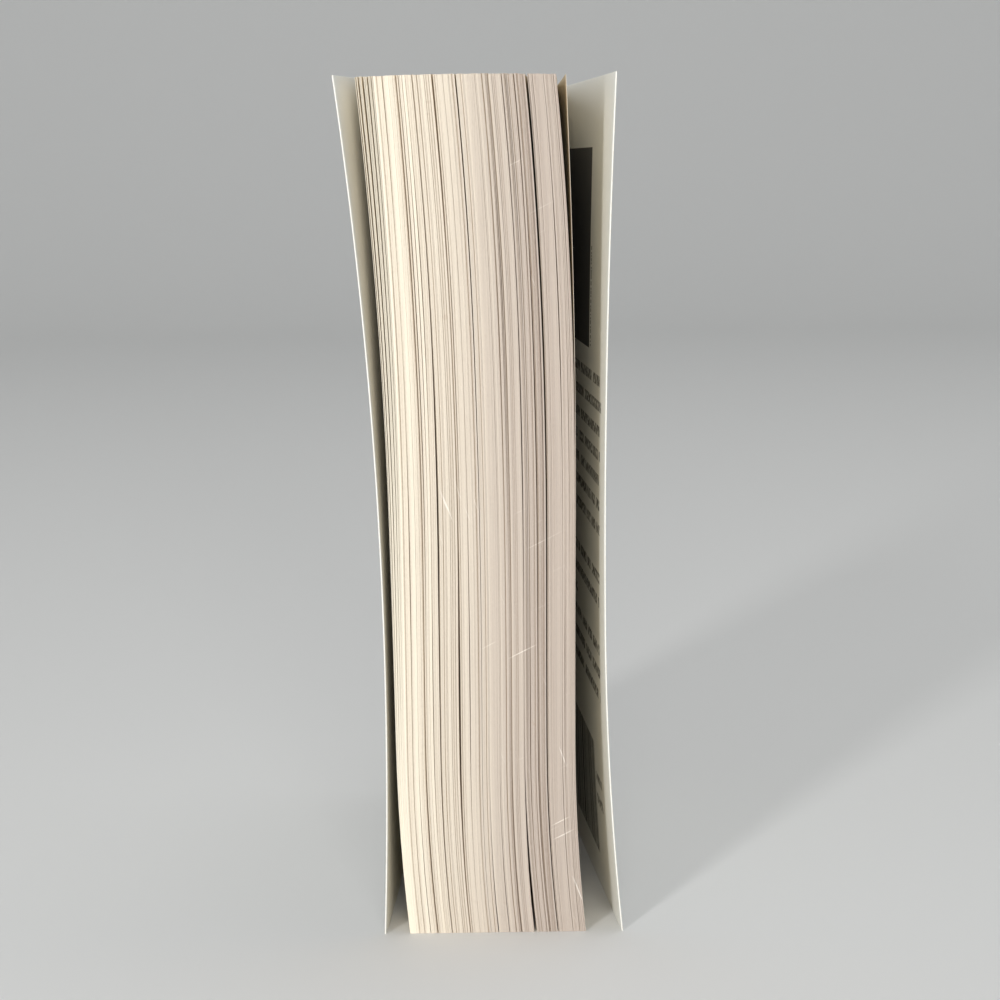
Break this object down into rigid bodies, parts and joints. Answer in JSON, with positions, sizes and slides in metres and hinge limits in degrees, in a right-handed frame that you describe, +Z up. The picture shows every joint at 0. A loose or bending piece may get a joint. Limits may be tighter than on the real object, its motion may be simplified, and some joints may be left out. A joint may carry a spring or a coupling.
{
  "type": "paperback book",
  "caption": "Thick paperback book standing on its tail, both card covers ajar and hinged at their scored creases.",
  "frame": {"origin": "middle of the page block's tail face, on the surface the book stands on", "axes": "+Z up to the head, -Y to the fore-edge, +Y to the spine, -X to the front cover, +X to the back cover"},
  "size_m": [0.0561, 0.1089, 0.175],
  "materials": {
    "page_paper": "matte",
    "cover_card": "satin",
    "glue": "matte"
  },
  "bodies": {
    "block": {"page_block": "page_paper", "binding_glue": "glue", "cover_spine": "cover_card"},
    "front_cover": {"front_cover": "cover_card"},
    "back_cover": {"back_cover": "cover_card"}
  },
  "joints": [
    {"name": "front_cover_crease", "type": "hinge", "parent": "block", "child": "front_cover", "pos_m": [-0.0184, 0.048, 0.0875], "axis": [0, 0, -1], "range_deg": [0, 175]},
    {"name": "back_cover_crease", "type": "hinge", "parent": "block", "child": "back_cover", "pos_m": [0.0184, 0.048, 0.0875], "axis": [0, 0, 1], "range_deg": [-2.5, 170]}
  ]
}
